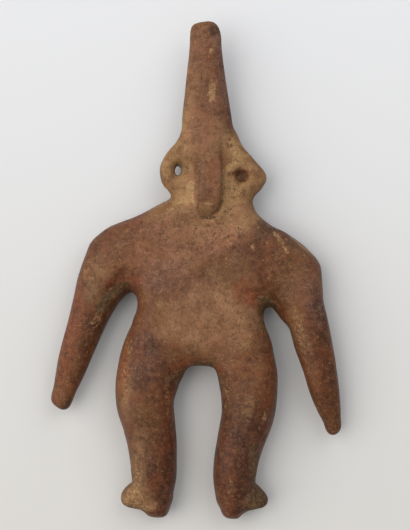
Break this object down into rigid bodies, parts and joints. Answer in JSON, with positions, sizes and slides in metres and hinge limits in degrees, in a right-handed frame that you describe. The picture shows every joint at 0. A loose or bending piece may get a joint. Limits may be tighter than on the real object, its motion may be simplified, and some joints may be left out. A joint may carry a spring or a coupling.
{
  "type": "fertility figure",
  "caption": "Solid flat-backed pottery figure with a tall pointed headdress, strip nose, punched eyes, broad sloping shoulders, tapering arms and full thighs with stub feet.",
  "frame": {"origin": "centre of the figure's bounding box, on the plane of its flattened back, which lies on the surface below it", "axes": "+Y from the feet to the tip of the headdress, +X to the viewer's right when looking at the face, +Z out of the front"},
  "size_m": [0.1207, 0.2038, 0.0188],
  "materials": {
    "burnished_clay": "worn red-brown burnished slip over ochre clay, satin"
  },
  "bodies": {
    "root": {"figure": "burnished_clay"}
  },
  "joints": []
}
